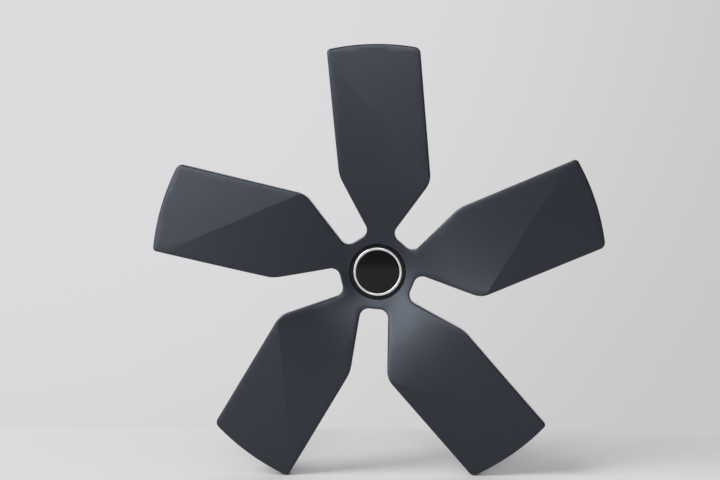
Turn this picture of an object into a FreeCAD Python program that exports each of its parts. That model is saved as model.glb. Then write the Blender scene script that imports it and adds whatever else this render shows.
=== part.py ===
import FreeCAD, Part
import math
import os

import Sketcher
from FreeCAD import Placement, Rotation, Vector

# Five-bladed wheel cover. It is modelled lying face up: the wheel's axis is the local z axis, the rear
# seat of the hub is z = 0 and the show face looks along +z. Blade one points along local +y. The last
# step stands every piece up, with the show face to -Y and blade one pointing to +Z.

doc = FreeCAD.newDocument("wheel_cover")
dims = doc.addObject("Spreadsheet::Sheet", "dims")

sizes = {
    # outline of one blade, angles in degrees from the blade's axis
    "tip_radius": 230.0,
    "tip_half_angle": 11.63,
    "cw_shoulder_radius": 107.9,
    "cw_shoulder_angle": 31.1,
    "ccw_shoulder_radius": 106.1,
    "ccw_shoulder_angle": 20.2,
    "gap_floor_radius": 38.4,
    "gap_floor_width": 28.1,
    "gap_lag": 5.4,
    # rounding of the outline's corners
    "cw_shoulder_round": 22.0,
    "ccw_shoulder_round": 35.0,
    "cw_tip_round": 6.8,
    "ccw_tip_round": 3.7,
    "gap_round": 9.2,
    # front faces: a level ridge, an outer facet that falls to one tip corner, a warped ramp to the hub
    "hub_depth": 10.0,
    "ridge_height": 19.0,
    "ridge_start_offset": 4.0,
    "ridge_end_offset": 9.0,
    "facet_fall": 3.2,
    "ramp_angle": 11.0,
    "ramp_fade": 62.0,
    "dish_start": 29.2,
    "dish_end": 60.0,
    "dish_angle": 12.0,
    "edge_round": 1.6,
    # shell behind the front faces
    "wall": 2.8,
    "rim_wall": 2.4,
    "rim_depth": 10.0,
    "hub_core_radius": 43.0,
    "rib": 1.8,
    "rib_setback": 2.0,
    # hub: badge recess in front, centring collar behind
    "recess_depth": 4.5,
    "recess_clearance": 0.2,
    "hub_floor": 2.6,
    "collar_radius": 28.0,
    "collar_wall": 2.4,
    "collar_length": 12.0,
    "notch_width": 3.0,
    "notch_depth": 4.5,
    # badge
    "badge_radius": 28.6,
    "badge_thickness": 3.0,
    "badge_crown": 1.0,
    "badge_bevel": 0.5,
    "ring_outer_radius": 24.9,
    "ring_inner_radius": 22.35,
    "ring_seat": 0.9,
    "ring_height": 1.9,
    "ring_clearance": 0.05,
    "leg_station": 20.0,
    "leg_width": 7.0,
    "leg_thickness": 1.6,
    "leg_clearance": 0.25,
    "leg_hook": 0.9,
    # retaining clips on their towers
    "clip_station": 168.0,
    "tower_width": 12.0,
    "tower_thickness": 4.0,
    "tower_end": 1.0,
    "clip_width": 9.0,
    "clip_gauge": 0.8,
    "clip_bulge": 3.2,
    "clip_leg": 11.5,
    "clip_clearance": 0.1,
}
for row, (alias, value) in enumerate(sizes.items(), start=1):
    dims.set("A%d" % row, alias.replace("_", " "))
    dims.set("B%d" % row, str(value))
    dims.setAlias("B%d" % row, alias)
doc.recompute()

bladeCount = 5
sector = 360.0 / bladeCount


def size(alias):
    return float(dims.get(alias))


def polar(radius, degrees):
    # angle counted counter-clockwise from the blade's axis, +y
    turn = math.radians(degrees)
    return Vector(-radius * math.sin(turn), radius * math.cos(turn), 0)


def bind(obj, expressions):
    for name, expression in expressions.items():
        obj.setExpression(name, expression)
    return obj


def boolean(kind, name, base, tool):
    obj = doc.addObject("Part::" + kind, name)
    obj.Base = base
    obj.Tool = tool
    return obj


def fuse(name, shapes):
    obj = doc.addObject("Part::MultiFuse", name)
    obj.Shapes = shapes
    return obj


def lowered(name, source, expression):
    obj = doc.addObject("Part::Compound", name)
    obj.Links = [source]
    obj.setExpression("Placement.Base.z", "-(" + expression + ")")
    return obj


def cylinder(name, radius, height, base):
    obj = doc.addObject("Part::Cylinder", name)
    return bind(obj, {"Radius": radius, "Height": height, "Placement.Base.z": base})


def box(name, length, width, height, x, y, z):
    obj = doc.addObject("Part::Box", name)
    return bind(obj, {"Length": length, "Width": width, "Height": height, "Placement.Base.x": x,
                      "Placement.Base.y": y, "Placement.Base.z": z})


def extrude(name, profile, forward, backward):
    obj = doc.addObject("Part::Extrusion", name)
    obj.Base = profile
    obj.DirMode = "Normal"
    obj.Solid = True
    return bind(obj, {"LengthFwd": forward, "LengthRev": backward})


def pin(sketch, geometry, end, across, up):
    # holds one point of a sketch at a distance across and up, each bound to an expression
    point = sketch.getPoint(geometry, end)
    for kind, axis, value, expression in (("DistanceX", -2, point.x, across), ("DistanceY", -1, point.y, up)):
        if expression == "0":
            sketch.addConstraint(Sketcher.Constraint("PointOnObject", geometry, end, axis))
        else:
            index = sketch.addConstraint(Sketcher.Constraint(kind, -1, 1, geometry, end, value))
            sketch.setExpression("Constraints[%d]" % index, expression)


def polygon(sketch, points):
    # closed outline of straight lines whose corners are all pinned
    count = len(points)
    rough = [Vector(10 * math.cos(2 * math.pi * i / count), 10 * math.sin(2 * math.pi * i / count), 0)
             for i in range(count)]
    for i in range(count):
        sketch.addGeometry(Part.LineSegment(rough[i], rough[(i + 1) % count]), False)
    for i in range(count):
        sketch.addConstraint(Sketcher.Constraint("Coincident", i, 2, (i + 1) % count, 1))
    for i, (across, up) in enumerate(points):
        pin(sketch, i, 1, across, up)


def plane(body, role):
    return next(feature for feature in body.Origin.OriginFeatures if feature.Role == role)


def bodySketch(body, name, role):
    sketch = body.newObject("Sketcher::SketchObject", name)
    sketch.AttachmentSupport = [(plane(body, role), "")]
    sketch.MapMode = "FlatFace"
    return sketch


# Outline of one fifth of the star, from the hub's centre out to the middle of one gap floor, round the
# blade and back from the middle of the next gap floor. Its virtual corners are pinned and each rounding
# is tangent to both of its neighbours.

gapRight = -(sector / 2 + size("gap_lag"))
gapLeft = sector / 2 - size("gap_lag")
gapHalf = math.degrees(math.atan2(size("gap_floor_width") / 2, size("gap_floor_radius")))
gapReach = math.hypot(size("gap_floor_width") / 2, size("gap_floor_radius"))
rightTurn = "(-36 - dims.gap_lag)"
leftTurn = "(36 - dims.gap_lag)"
rightMiddle = polar(size("gap_floor_radius"), gapRight)
leftMiddle = polar(size("gap_floor_radius"), gapLeft)
rightGap = polar(gapReach, gapRight + gapHalf)
leftGap = polar(gapReach, gapLeft - gapHalf)
cwShoulder = polar(size("cw_shoulder_radius"), -size("cw_shoulder_angle"))
ccwShoulder = polar(size("ccw_shoulder_radius"), size("ccw_shoulder_angle"))
cwTip = polar(size("tip_radius"), -size("tip_half_angle"))
ccwTip = polar(size("tip_radius"), size("tip_half_angle"))


def gapText(turn, sign):
    across = "-dims.gap_floor_radius * sin%s %s dims.gap_floor_width / 2 * cos%s" % (turn, sign, turn)
    up = "dims.gap_floor_radius * cos%s %s dims.gap_floor_width / 2 * sin%s" % (turn, sign, turn)
    return across, up


def polarText(radius, angle, sign):
    return "%sdims.%s * sin(dims.%s)" % (sign, radius, angle), "dims.%s * cos(dims.%s)" % (radius, angle)


def lineRound(previous, at, following, radius):
    # tangent points and centre of the rounding between two straight edges
    back = (previous - at).normalize()
    ahead = (following - at).normalize()
    half = back.getAngle(ahead) / 2
    reach = radius / math.tan(half)
    return at + back * reach, at + ahead * reach, at + (back + ahead).normalize() * (radius / math.sin(half))


def tipRound(tip, shoulder, radius, side):
    # the same between a blade's straight side and the tip circle
    along = (tip - shoulder).normalize()
    inward = Vector(-along.y, along.x, 0) * side
    start = shoulder + inward * radius
    half = start.dot(along)
    reach = -half + math.sqrt(half ** 2 - start.Length ** 2 + (size("tip_radius") - radius) ** 2)
    centre = start + along * reach
    return shoulder + along * reach, centre * (size("tip_radius") / centre.Length), centre


outline = doc.addObject("Sketcher::SketchObject", "sector_outline")
rightStart, rightEnd, rightCentre = lineRound(rightMiddle, rightGap, cwShoulder, size("gap_round"))
cwStart, cwEnd, cwCentre = lineRound(rightGap, cwShoulder, cwTip, size("cw_shoulder_round"))
cwTipStart, cwTipEnd, cwTipCentre = tipRound(cwTip, cwShoulder, size("cw_tip_round"), 1)
ccwTipEnd, ccwTipStart, ccwTipCentre = tipRound(ccwTip, ccwShoulder, size("ccw_tip_round"), -1)
ccwStart, ccwEnd, ccwCentre = lineRound(ccwTip, ccwShoulder, leftGap, size("ccw_shoulder_round"))
leftStart, leftEnd, leftCentre = lineRound(ccwShoulder, leftGap, leftMiddle, size("gap_round"))


def arc(centre, start, end):
    first = math.atan2(start.y - centre.y, start.x - centre.x)
    last = math.atan2(end.y - centre.y, end.x - centre.x)
    circle = Part.Circle(Vector(centre), Vector(0, 0, 1), (start - centre).Length)
    return Part.ArcOfCircle(circle, first, last)


hub = Vector(0, 0, 0)
edges = [
    Part.LineSegment(hub, rightMiddle),
    Part.LineSegment(rightMiddle, rightStart),
    arc(rightCentre, rightEnd, rightStart),
    Part.LineSegment(rightEnd, cwStart),
    arc(cwCentre, cwStart, cwEnd),
    Part.LineSegment(cwEnd, cwTipStart),
    arc(cwTipCentre, cwTipStart, cwTipEnd),
    arc(hub, cwTipEnd, ccwTipStart),
    arc(ccwTipCentre, ccwTipStart, ccwTipEnd),
    Part.LineSegment(ccwTipEnd, ccwStart),
    arc(ccwCentre, ccwStart, ccwEnd),
    Part.LineSegment(ccwEnd, leftStart),
    arc(leftCentre, leftEnd, leftStart),
    Part.LineSegment(leftEnd, leftMiddle),
    Part.LineSegment(leftMiddle, hub),
]
for edge in edges:
    outline.addGeometry(edge, False)
outline.addConstraint(Sketcher.Constraint("Coincident", 0, 1, -1, 1))
outline.addConstraint(Sketcher.Constraint("Coincident", 14, 2, -1, 1))
outline.addConstraint(Sketcher.Constraint("Coincident", 0, 2, 1, 1))
outline.addConstraint(Sketcher.Constraint("Coincident", 13, 2, 14, 1))
outline.addConstraint(Sketcher.Constraint("Coincident", 7, 3, -1, 1))
pin(outline, 0, 2, "-dims.gap_floor_radius * sin%s" % rightTurn, "dims.gap_floor_radius * cos%s" % rightTurn)
pin(outline, 14, 1, "-dims.gap_floor_radius * sin%s" % leftTurn, "dims.gap_floor_radius * cos%s" % leftTurn)
# the two concave gap roundings run the other way round, so their ends swap
for first, firstEnd, second, secondEnd in (
        (1, 2, 2, 2), (2, 1, 3, 1), (3, 2, 4, 1), (4, 2, 5, 1), (5, 2, 6, 1), (6, 2, 7, 1), (7, 2, 8, 1),
        (8, 2, 9, 1), (9, 2, 10, 1), (10, 2, 11, 1), (11, 2, 12, 2), (12, 1, 13, 1)):
    outline.addConstraint(Sketcher.Constraint("Tangent", first, firstEnd, second, secondEnd))
for index, alias in ((2, "gap_round"), (4, "cw_shoulder_round"), (6, "cw_tip_round"), (7, "tip_radius"),
                     (8, "ccw_tip_round"), (10, "ccw_shoulder_round"), (12, "gap_round")):
    constraint = outline.addConstraint(Sketcher.Constraint("Radius", index, size(alias)))
    outline.setExpression("Constraints[%d]" % constraint, "dims." + alias)
for point, text, lines in (
        (rightGap, gapText(rightTurn, "-"), (1, 3)),
        (cwShoulder, polarText("cw_shoulder_radius", "cw_shoulder_angle", ""), (3, 5)),
        (cwTip, polarText("tip_radius", "tip_half_angle", ""), (5,)),
        (ccwTip, polarText("tip_radius", "tip_half_angle", "-"), (9,)),
        (ccwShoulder, polarText("ccw_shoulder_radius", "ccw_shoulder_angle", "-"), (9, 11)),
        (leftGap, gapText(leftTurn, "+"), (11, 13))):
    mark = outline.addGeometry(Part.Point(point), True)
    pin(outline, mark, 1, *text)
    for line in lines:
        outline.addConstraint(Sketcher.Constraint("PointOnObject", mark, 1, line))

# Front faces of one blade. The ridge is a level straight line from the clockwise shoulder to the other tip
# corner. Inside it a ramp of straight rulings square to the ridge falls to the hub, steep at the shoulder
# and fading towards the tip. Outside it one flat facet falls to the clockwise tip corner.

ridgeLevel = size("hub_depth") + size("ridge_height")
cwSide = (cwTip - cwShoulder).normalize()
ccwSide = (ccwShoulder - ccwTip).normalize()
ridgeStart = cwShoulder + cwSide * size("ridge_start_offset") + Vector(0, 0, ridgeLevel)
ridgeEnd = ccwTip + ccwSide * size("ridge_end_offset") + Vector(0, 0, ridgeLevel)
facetCorner = cwTip + Vector(0, 0, ridgeLevel - size("facet_fall"))
ridgeAlong = (ridgeEnd - ridgeStart).normalize()
ridgeInward = Vector(-ridgeAlong.y, ridgeAlong.x, 0)
ridgeLength = (ridgeEnd - ridgeStart).Length
rampTurn = Rotation(ridgeInward, Vector(0, 0, 1), ridgeInward.cross(Vector(0, 0, 1)), "XYZ")

rampSections = []
outward = "%.3f" % (0.6 * ridgeLength)
inward = "%.3f" % (0.95 * size("cw_shoulder_radius"))
for index, share in enumerate((-0.2, -0.05, 0.12, 0.32, 0.57, 0.84, 1.13)):
    station = share * ridgeLength
    section = doc.addObject("Sketcher::SketchObject", "ramp_section_%d" % (index + 1))
    foot = ridgeStart + ridgeAlong * station
    section.Placement = Placement(Vector(foot.x, foot.y, 0), rampTurn)
    slope = "tan(dims.ramp_angle) * exp(-%.4f / dims.ramp_fade)" % station
    level = "dims.hub_depth + dims.ridge_height"
    polygon(section, [("-" + outward, "-60"), (inward, "-60"), (inward, "%s - %s * %s" % (level, inward, slope)),
                      ("-" + outward, "%s + %s * %s" % (level, outward, slope))])
    rampSections.append(section)
ramp = doc.addObject("Part::Loft", "ramp_block")
ramp.Sections = rampSections
ramp.Solid = True
ramp.Ruled = False

facetAcross = facetCorner - ridgeStart
facetUp = ridgeAlong.cross(facetAcross)
if facetUp.z < 0:
    facetUp = facetUp * -1
facetUp.normalize()
facetSide = facetUp.cross(ridgeAlong)
above = doc.addObject("Part::Box", "above_facet")
above.Length = 700
above.Width = 700
above.Height = 200
above.Placement = Placement(ridgeStart - ridgeAlong * 300 - facetSide * 350,
                            Rotation(ridgeAlong, facetSide, facetUp, "XYZ"))
front = boolean("Cut", "front_block", ramp, above)


def roundFront(name, base):
    # rounds the front edges of the outline, found as the edges between a side wall and a front face
    doc.recompute()
    shape = base.Shape
    chosen = []
    for edge in shape.Edges:
        middle = edge.valueAt((edge.FirstParameter + edge.LastParameter) / 2)
        reach = math.hypot(middle.x, middle.y)
        if reach < 0.98 * size("gap_floor_radius") or abs(reach - size("dish_end")) < 0.01:
            continue
        tilts = []
        for face in shape.ancestorsOfType(edge, Part.Face):
            tilts.append(face.normalAt(*face.Surface.parameter(middle)).z)
        if len(tilts) == 2 and min(abs(tilts[0]), abs(tilts[1])) < 0.01 and max(tilts) > 0.5:
            chosen.append(edge)
    rounded = shape.makeFillet(size("edge_round"), chosen)
    if not rounded.isValid():
        rounded.fix(1e-5, 1e-5, 1e-3)
    obj = doc.addObject("Part::Feature", name)
    obj.Shape = rounded
    return obj


prism = extrude("sector_prism", outline, "90", "60")
rampRound = roundFront("ramp_rounded", boolean("Common", "ramp_blank", prism, ramp))
facetRound = roundFront("facet_rounded", boolean("Cut", "facet_blank", prism, above))
frontBack = lowered("front_at_rim", front, "dims.rim_depth")
frontWall = lowered("front_at_wall", front, "dims.wall")
frontRib = lowered("front_at_rib", front, "dims.rim_depth - dims.rib_setback")
frontSkin = lowered("front_in_skin", front, "dims.wall / 2")
core = cylinder("hub_core", "dims.hub_core_radius", "200", "-100")
belowSeat = cylinder("below_seat", "dims.dish_end + 10", "100", "-100")
blank = boolean("Common", "blade_blank", rampRound, facetRound)
plate = boolean("Cut", "blade_plate", blank, fuse("blade_clear", [frontBack, core, belowSeat]))

# Dished hub: a shallow cone that rises from the badge's edge into the ramps.

dishProfile = doc.addObject("Sketcher::SketchObject", "dish_profile")
dishProfile.Placement = Placement(Vector(0, 0, 0), Rotation(Vector(1, 0, 0), 90))
polygon(dishProfile, [
    ("0", "0"),
    ("dims.hub_core_radius", "0"),
    ("dims.hub_core_radius", "dims.hub_depth / 2"),
    ("dims.dish_end", "dims.hub_depth * 0.8"),
    ("dims.dish_end", "dims.hub_depth + (dims.dish_end - dims.dish_start) * tan(dims.dish_angle)"),
    ("dims.dish_start", "dims.hub_depth"),
    ("0", "dims.hub_depth"),
])
dish = doc.addObject("Part::Revolution", "dish_block")
dish.Source = dishProfile
dish.Axis = Vector(0, 0, 1)
dish.Angle = 360
dish.Solid = True
hubSector = roundFront("hub_sector_rounded", boolean("Common", "hub_sector", prism, dish))

# Hollow back of the blade, with a rim all round, a spine, cross ribs and the clip tower left standing.

inset = doc.addObject("Part::Offset2D", "sector_inset")
inset.Source = outline
inset.setExpression("Value", "-dims.rim_wall")
insetPrism = extrude("inset_prism", inset, "90", "60")
hollow = boolean("Cut", "hollow_blank", boolean("Common", "hollow_top", insetPrism, frontWall), core)
ribBoxes = [box("rib_spine", "dims.rib", "dims.tip_radius", "200", "-dims.rib / 2", "0", "-100")]
for index, share in enumerate((0.5, 0.62, 0.86)):
    ribBoxes.append(box("rib_cross_%d" % (index + 1), "300", "dims.rib", "200", "-150",
                        "dims.tip_radius * %.2f - dims.rib / 2" % share, "-100"))
ribs = boolean("Cut", "ribs", fuse("rib_boxes", ribBoxes), frontRib)
cavity = boolean("Cut", "cavity", hollow, ribs)
towerBox = box("tower_box", "dims.tower_width", "dims.tower_thickness", "200", "-dims.tower_width / 2",
               "dims.clip_station - dims.tower_thickness / 2", "dims.tower_end")
tower = boolean("Common", "tower", towerBox, frontSkin)
shell = boolean("Cut", "blade_shell", fuse("blade_and_hub", [plate, hubSector]), cavity)
blade = fuse("blade_sector", [shell, tower])

# Five of them make the star. The hub then gets its badge recess in front, and behind it a collar that
# centres the cover in the wheel, with drain notches in its free end.

blades = []
for index in range(bladeCount):
    turned = doc.addObject("Part::Compound", "blade_%d" % (index + 1))
    turned.Links = [blade]
    turned.Placement = Placement(Vector(0, 0, 0), Rotation(Vector(0, 0, 1), sector * index))
    blades.append(turned)
star = fuse("star", blades)
collarOuter = cylinder("collar_outer", "dims.collar_radius", "dims.collar_length + 1", "-dims.collar_length")
notches = []
for index in range(3):
    notch = box("notch_pair_%d" % (index + 1), "dims.collar_radius * 3", "dims.notch_width", "dims.notch_depth",
                "0", "0", "-dims.collar_length")
    turn = 60 * index + 30
    notch.Placement.Rotation = Rotation(Vector(0, 0, 1), turn)
    along = "%.6f" % math.cos(math.radians(turn)), "%.6f" % math.sin(math.radians(turn))
    back, aside = "dims.collar_radius * 1.5", "dims.notch_width / 2"
    bind(notch, {"Placement.Base.x": "-%s * %s + %s * %s" % (back, along[0], aside, along[1]),
                 "Placement.Base.y": "-%s * %s - %s * %s" % (back, along[1], aside, along[0])})
    notches.append(notch)
collar = boolean("Cut", "collar", collarOuter, fuse("collar_notches", notches))
recess = cylinder("badge_recess", "dims.badge_radius + dims.recess_clearance", "100",
                  "dims.hub_depth - dims.recess_depth")
bore = cylinder("collar_bore", "dims.collar_radius - dims.collar_wall",
                "dims.collar_length + dims.hub_depth - dims.recess_depth - dims.hub_floor",
                "-dims.collar_length")
legSlots = []
for index in range(4):
    slot = box("leg_slot_%d" % (index + 1), "dims.leg_thickness + dims.leg_hook + 2 * dims.leg_clearance",
               "dims.leg_width + 2 * dims.leg_clearance", "40", "0", "0", "-20")
    turn = 90 * index
    slot.Placement.Rotation = Rotation(Vector(0, 0, 1), turn)
    along = "%.6f" % math.cos(math.radians(turn)), "%.6f" % math.sin(math.radians(turn))
    near = "(dims.leg_station - dims.leg_thickness / 2 - dims.leg_clearance)"
    aside = "(dims.leg_width / 2 + dims.leg_clearance)"
    bind(slot, {"Placement.Base.x": "%s * %s + %s * %s" % (near, along[0], aside, along[1]),
                "Placement.Base.y": "%s * %s - %s * %s" % (near, along[1], aside, along[0])})
    legSlots.append(slot)
cover = boolean("Cut", "star_cover", fuse("star_and_collar", [star, collar]),
                fuse("hub_cuts", [recess, bore] + legSlots))

# Badge: a crowned disc with a bevelled edge, a groove for the ring and four snap legs that pass through
# the hub's floor and hook behind it.

badge = doc.addObject("PartDesign::Body", "badge_disc")
seat = "dims.hub_depth - dims.recess_depth"
face = seat + " + dims.badge_thickness"
grooveOuter = "dims.ring_outer_radius + dims.ring_clearance"
grooveInner = "dims.ring_inner_radius - dims.ring_clearance"
badgeSketch = bodySketch(badge, "badge_profile", "XZ_Plane")
faceLevel = size("hub_depth") - size("recess_depth") + size("badge_thickness")
crownReach = size("ring_inner_radius") - size("ring_clearance")
crownRadius = (crownReach ** 2 + size("badge_crown") ** 2) / (2 * size("badge_crown"))
crownTop = Vector(0, faceLevel + size("badge_crown"), 0)
crownEdge = Vector(crownReach, faceLevel, 0)
crownCentre = Vector(0, crownTop.y - crownRadius, 0)
seatLevel = size("hub_depth") - size("recess_depth")
grooveReach = size("ring_outer_radius") + size("ring_clearance")
grooveLevel = faceLevel - size("ring_seat")
badgePoints = [
    crownEdge,
    Vector(crownReach, grooveLevel, 0),
    Vector(grooveReach, grooveLevel, 0),
    Vector(grooveReach, faceLevel, 0),
    Vector(size("badge_radius") - size("badge_bevel"), faceLevel, 0),
    Vector(size("badge_radius"), faceLevel - size("badge_bevel"), 0),
    Vector(size("badge_radius"), seatLevel, 0),
    Vector(0, seatLevel, 0),
    crownTop,
]
for i in range(8):
    badgeSketch.addGeometry(Part.LineSegment(badgePoints[i], badgePoints[i + 1]), False)
badgeSketch.addGeometry(arc(crownCentre, crownEdge, crownTop), False)
for i in range(7):
    badgeSketch.addConstraint(Sketcher.Constraint("Coincident", i, 2, i + 1, 1))
badgeSketch.addConstraint(Sketcher.Constraint("Coincident", 7, 2, 8, 2))
badgeSketch.addConstraint(Sketcher.Constraint("Coincident", 8, 1, 0, 1))
badgeSketch.addConstraint(Sketcher.Constraint("PointOnObject", 8, 3, -2))
pin(badgeSketch, 0, 1, grooveInner, face)
pin(badgeSketch, 1, 1, grooveInner, face + " - dims.ring_seat")
pin(badgeSketch, 2, 1, grooveOuter, face + " - dims.ring_seat")
pin(badgeSketch, 3, 1, grooveOuter, face)
pin(badgeSketch, 4, 1, "dims.badge_radius - dims.badge_bevel", face)
pin(badgeSketch, 5, 1, "dims.badge_radius", face + " - dims.badge_bevel")
pin(badgeSketch, 6, 1, "dims.badge_radius", seat)
pin(badgeSketch, 7, 1, "0", seat)
pin(badgeSketch, 8, 2, "0", face + " + dims.badge_crown")
disc = badge.newObject("PartDesign::Revolution", "badge_turned")
disc.Profile = badgeSketch
disc.ReferenceAxis = (badgeSketch, ["V_Axis"])
disc.Angle = 360
legSketch = bodySketch(badge, "leg_profile", "XZ_Plane")
legIn = "dims.leg_station - dims.leg_thickness / 2"
legOut = "dims.leg_station + dims.leg_thickness / 2"
hookTop = seat + " - dims.hub_floor - dims.leg_clearance"
polygon(legSketch, [
    (legIn, seat + " + 0.5"),
    (legIn, hookTop + " - 3 * dims.leg_hook"),
    (legOut, hookTop + " - 3 * dims.leg_hook"),
    (legOut + " + dims.leg_hook", hookTop + " - dims.leg_hook"),
    (legOut + " + dims.leg_hook", hookTop),
    (legOut, hookTop),
    (legOut, seat + " + 0.5"),
])
leg = badge.newObject("PartDesign::Pad", "leg")
leg.Profile = legSketch
leg.Midplane = True
leg.setExpression("Length", "dims.leg_width")
legs = badge.newObject("PartDesign::PolarPattern", "legs")
legs.Originals = [leg]
legs.Axis = (plane(badge, "Z_Axis"), [""])
legs.Angle = 360
legs.Occurrences = 4
badge.Tip = legs

# Bright ring, half round on top, sitting in the badge's groove.

ring = doc.addObject("PartDesign::Body", "badge_ring")
ringSketch = bodySketch(ring, "ring_profile", "XZ_Plane")
ringFoot = face + " - dims.ring_seat"
ringBevel = "(dims.ring_outer_radius - dims.ring_inner_radius) / 5"
polygon(ringSketch, [
    ("dims.ring_inner_radius", ringFoot),
    ("dims.ring_outer_radius", ringFoot),
    ("dims.ring_outer_radius", ringFoot + " + dims.ring_height - " + ringBevel),
    ("dims.ring_outer_radius - " + ringBevel, ringFoot + " + dims.ring_height"),
    ("dims.ring_inner_radius + " + ringBevel, ringFoot + " + dims.ring_height"),
    ("dims.ring_inner_radius", ringFoot + " + dims.ring_height - " + ringBevel),
])
turnedRing = ring.newObject("PartDesign::Revolution", "ring_turned")
turnedRing.Profile = ringSketch
turnedRing.ReferenceAxis = (ringSketch, ["V_Axis"])
turnedRing.Angle = 360

# Sprung steel clips: a U of strip over each tower's free end, with legs that bulge to grip the wheel and
# flare at their ends.

clips = doc.addObject("PartDesign::Body", "spring_clips")
clips.AllowCompound = True
clipSketch = bodySketch(clips, "clip_profile", "YZ_Plane")
legNear = "(dims.tower_thickness / 2 + dims.clip_clearance)"
legFar = "(dims.tower_thickness / 2 + dims.clip_clearance + dims.clip_gauge)"
inner = [(legNear, "-dims.clip_clearance"), (legNear, "dims.clip_leg * 0.15"),
         (legNear + " + dims.clip_bulge", "dims.clip_leg * 0.5"), (legNear, "dims.clip_leg * 0.88"),
         (legNear + " + dims.clip_gauge", "dims.clip_leg")]
outer = [(legFar, "-dims.clip_clearance - dims.clip_gauge"), (legFar, "dims.clip_leg * 0.13"),
         (legFar + " + dims.clip_bulge", "dims.clip_leg * 0.5"), (legFar, "dims.clip_leg * 0.88"),
         (legFar + " + dims.clip_gauge", "dims.clip_leg")]
chain = [("+", point) for point in inner] + [("+", point) for point in reversed(outer)]
chain += [("-", point) for point in outer] + [("-", point) for point in reversed(inner)]
polygon(clipSketch, [("dims.clip_station %s (%s)" % (sign, across), "dims.tower_end + %s" % up)
                     for sign, (across, up) in chain])
strip = clips.newObject("PartDesign::Pad", "clip_strip")
strip.Profile = clipSketch
strip.Midplane = True
strip.setExpression("Length", "dims.clip_width")
pattern = clips.newObject("PartDesign::PolarPattern", "clips")
pattern.Originals = [strip]
pattern.Axis = (plane(clips, "Z_Axis"), [""])
pattern.Angle = 360
pattern.Occurrences = bladeCount
clips.Tip = pattern
doc.recompute()

# Stand the cover up on its wheel axis, check every piece and write it.

upright = Placement(Vector(0, 0, 0), Rotation(Vector(1, 0, 0), 90))
pieces = [cover, badge, ring, clips]
for piece in pieces:
    piece.Placement = upright
doc.recompute()
for obj in doc.Objects:
    if "Invalid" in obj.State or "Error" in obj.State:
        raise RuntimeError("%s failed: %s" % (obj.Name, obj.State))
for piece, solids in ((cover, 1), (badge, 1), (ring, 1), (clips, bladeCount)):
    shape = piece.Shape
    if shape.isNull() or not shape.isValid() or len(shape.Solids) != solids:
        raise RuntimeError("%s has %d solids" % (piece.Label, len(shape.Solids)))
os.makedirs("parts", exist_ok=True)
for piece in pieces:
    extent = piece.Shape.BoundBox
    print("%s %.1f cm3, x %.1f to %.1f, y %.1f to %.1f, z %.1f to %.1f mm" % (
        piece.Label, piece.Shape.Volume / 1000, extent.XMin, extent.XMax,
        extent.YMin, extent.YMax, extent.ZMin, extent.ZMax))
    piece.Shape.exportStep("parts/%s.step" % piece.Label)
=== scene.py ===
import math
from collections import Counter

import bmesh
import bpy
import numpy as np
from mathutils import Matrix, Vector
from mathutils.geometry import delaunay_2d_cdt


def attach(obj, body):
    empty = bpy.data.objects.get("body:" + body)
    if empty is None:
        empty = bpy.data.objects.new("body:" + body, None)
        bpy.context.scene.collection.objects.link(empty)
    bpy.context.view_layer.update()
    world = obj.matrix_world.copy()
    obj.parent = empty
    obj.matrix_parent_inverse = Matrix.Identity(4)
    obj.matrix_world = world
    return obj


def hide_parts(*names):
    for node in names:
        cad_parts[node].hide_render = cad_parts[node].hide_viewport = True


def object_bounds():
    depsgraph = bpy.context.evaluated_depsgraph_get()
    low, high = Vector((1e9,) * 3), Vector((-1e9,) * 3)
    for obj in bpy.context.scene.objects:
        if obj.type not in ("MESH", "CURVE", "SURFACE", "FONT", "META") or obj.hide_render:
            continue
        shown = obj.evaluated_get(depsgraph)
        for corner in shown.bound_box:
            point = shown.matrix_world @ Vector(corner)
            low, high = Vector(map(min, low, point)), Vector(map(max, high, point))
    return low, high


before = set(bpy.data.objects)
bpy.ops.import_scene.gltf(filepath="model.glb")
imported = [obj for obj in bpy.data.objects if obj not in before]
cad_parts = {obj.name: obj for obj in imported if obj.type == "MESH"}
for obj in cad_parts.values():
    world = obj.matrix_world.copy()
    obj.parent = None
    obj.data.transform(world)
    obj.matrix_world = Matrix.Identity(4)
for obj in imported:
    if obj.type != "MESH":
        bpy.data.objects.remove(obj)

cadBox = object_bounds()
scene = bpy.context.scene
print("frame loaded", sorted(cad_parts))

# Sizes in mm. The cover is laid out face up, its axis along z and the first blade along +y, and stood up last.
mm = 0.001
blade = {
    "count": 5,
    "tipRadius": 230.0, "tipHalfAngle": 11.63,
    "cwShoulder": (107.9, -31.1), "ccwShoulder": (106.1, 20.2),
    "gapFloor": 38.4, "gapWidth": 28.1, "gapLag": 5.4,
    "roundCwShoulder": 22.0, "roundCcwShoulder": 35.0, "roundCwTip": 6.8, "roundCcwTip": 3.7, "roundGap": 9.2,
    "edgeRound": 1.6, "backRound": 0.5,
    "skin": 2.8, "rimWall": 2.4, "rimDepth": 10.0, "coreRadius": 43.0, "coreRoom": 0.4,
    "wallRow": (0.5, 0.4),  # a row of points down the outer wall: its drop and its least height, of the rim's depth
    "ribThickness": 1.8, "ribSetback": 2.0, "ribRoot": 0.4, "ribSink": 0.6,  # sink as a share of the rim's wall
    "crossRibs": (0.5, 0.62, 0.86), "spineEnds": (0.5, 1.5),  # ribs as shares of the tip radius
    "towerStation": 168.0, "towerSize": (12.0, 4.0), "towerEnd": 1.0,
    # spacing of the mesh: along the edges, over the faces, along the ribs and round each corner
    "step": 3.0, "fillStep": 5.0, "spineStep": 4.0, "ribCells": 20, "coreCells": 10, "edgeRows": 5, "weld": 0.01,
    "gapStep": 1.5, "cwShoulderStep": 2.0, "cwTipStep": 1.0, "ccwTipStep": 0.8, "ccwShoulderStep": 2.5,
}
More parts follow.
